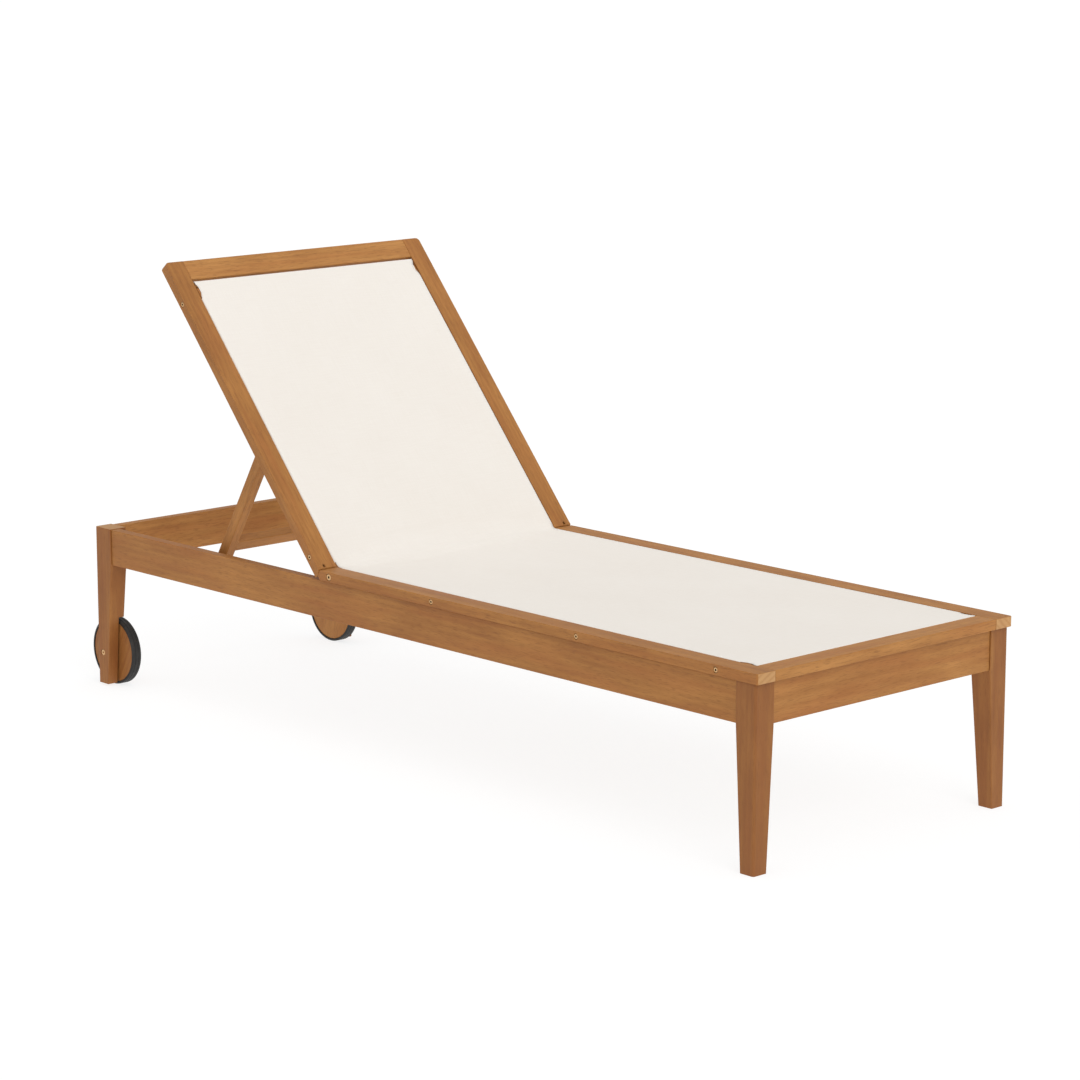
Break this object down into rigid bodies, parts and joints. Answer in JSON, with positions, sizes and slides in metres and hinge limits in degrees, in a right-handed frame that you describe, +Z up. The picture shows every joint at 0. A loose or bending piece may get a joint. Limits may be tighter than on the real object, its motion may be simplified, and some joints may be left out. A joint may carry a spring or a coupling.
{
  "type": "sun lounger",
  "caption": "Reclining wooden sun lounger with a woven sling, a rack-and-prop backrest and transport wheels at the head end.",
  "frame": {"origin": "on the floor, under the middle of the overall length and width, with the back at its stored angle", "axes": "+X towards the foot end, +Y across to the far side of the pictured view, +Z up"},
  "size_m": [2.056, 0.7, 0.9561],
  "materials": {
    "oiled_hardwood": "oiled, satin",
    "woven_sling": "plain-woven coated yarn, matt",
    "black_rubber": "matt",
    "brassed_steel": "satin",
    "zinc_plated_steel": "satin"
  },
  "bodies": {
    "base": {"front_leg_near": "oiled_hardwood", "front_leg_far": "oiled_hardwood", "rear_leg_near": "oiled_hardwood", "rear_leg_far": "oiled_hardwood", "base_side_rail_near": "oiled_hardwood", "base_side_rail_far": "oiled_hardwood", "prop_rack_near": "oiled_hardwood", "prop_rack_far": "oiled_hardwood", "seat_side_rail_near": "oiled_hardwood", "seat_side_rail_far": "oiled_hardwood", "seat_batten_near": "oiled_hardwood", "seat_batten_far": "oiled_hardwood", "hinge_plate_seat_near": "zinc_plated_steel", "hinge_plate_seat_far": "zinc_plated_steel", "hinge_bolt_near": "brassed_steel", "hinge_bolt_far": "brassed_steel", "axle_bolt_near": "brassed_steel", "axle_bolt_far": "brassed_steel", "axle_nut_near": "zinc_plated_steel", "axle_nut_far": "zinc_plated_steel", "seat_screw_near_1": "brassed_steel", "seat_screw_near_2": "brassed_steel", "seat_screw_near_3": "brassed_steel", "seat_screw_far_1": "brassed_steel", "seat_screw_far_2": "brassed_steel", "seat_screw_far_3": "brassed_steel", "base_foot_rail": "oiled_hardwood", "base_head_rail": "oiled_hardwood", "base_stretcher": "oiled_hardwood", "seat_foot_rail": "oiled_hardwood", "seat_sling": "woven_sling"},
    "backrest": {"back_side_rail_near": "oiled_hardwood", "back_side_rail_far": "oiled_hardwood", "back_batten_near": "oiled_hardwood", "back_batten_far": "oiled_hardwood", "prop_cleat_near": "oiled_hardwood", "prop_cleat_far": "oiled_hardwood", "hinge_plate_back_near": "zinc_plated_steel", "hinge_plate_back_far": "zinc_plated_steel", "hinge_rivet_near": "zinc_plated_steel", "hinge_rivet_far": "zinc_plated_steel", "prop_bolt_near": "brassed_steel", "prop_bolt_far": "brassed_steel", "back_screw_near_1": "brassed_steel", "back_screw_near_2": "brassed_steel", "back_screw_far_1": "brassed_steel", "back_screw_far_2": "brassed_steel", "back_top_rail": "oiled_hardwood", "back_sling": "woven_sling"},
    "prop": {"prop_strut_near": "oiled_hardwood", "prop_strut_far": "oiled_hardwood", "prop_foot_pin_near": "zinc_plated_steel", "prop_foot_pin_far": "zinc_plated_steel", "prop_crossbar": "oiled_hardwood"},
    "wheel_near": {"wheel_disc_near": "oiled_hardwood", "tyre_near": "black_rubber", "wheel_bush_near": "zinc_plated_steel"},
    "wheel_far": {"wheel_disc_far": "oiled_hardwood", "tyre_far": "black_rubber", "wheel_bush_far": "zinc_plated_steel"}
  },
  "joints": [
    {"name": "back_recline", "type": "hinge", "parent": "base", "child": "backrest", "pos_m": [-0.1992, 0, 0.36525], "axis": [0, 1, 0], "range_deg": [-49.35, 10.65]},
    {"name": "prop_fold", "type": "hinge", "parent": "backrest", "child": "prop", "pos_m": [-0.43127, 0, 0.60292], "axis": [0, 1, 0], "range_deg": [-22.5, 104]},
    {"name": "wheel_near_roll", "type": "hinge", "parent": "base", "child": "wheel_near", "pos_m": [-0.9537, -0.3087, 0.0743], "axis": [0, 1, 0], "continuous": true},
    {"name": "wheel_far_roll", "type": "hinge", "parent": "base", "child": "wheel_far", "pos_m": [-0.9537, 0.3087, 0.0743], "axis": [0, 1, 0], "continuous": true}
  ],
  "couplings": [
    {"joint": "prop_fold", "follows": "back_recline", "ratio": -2.1046}
  ]
}
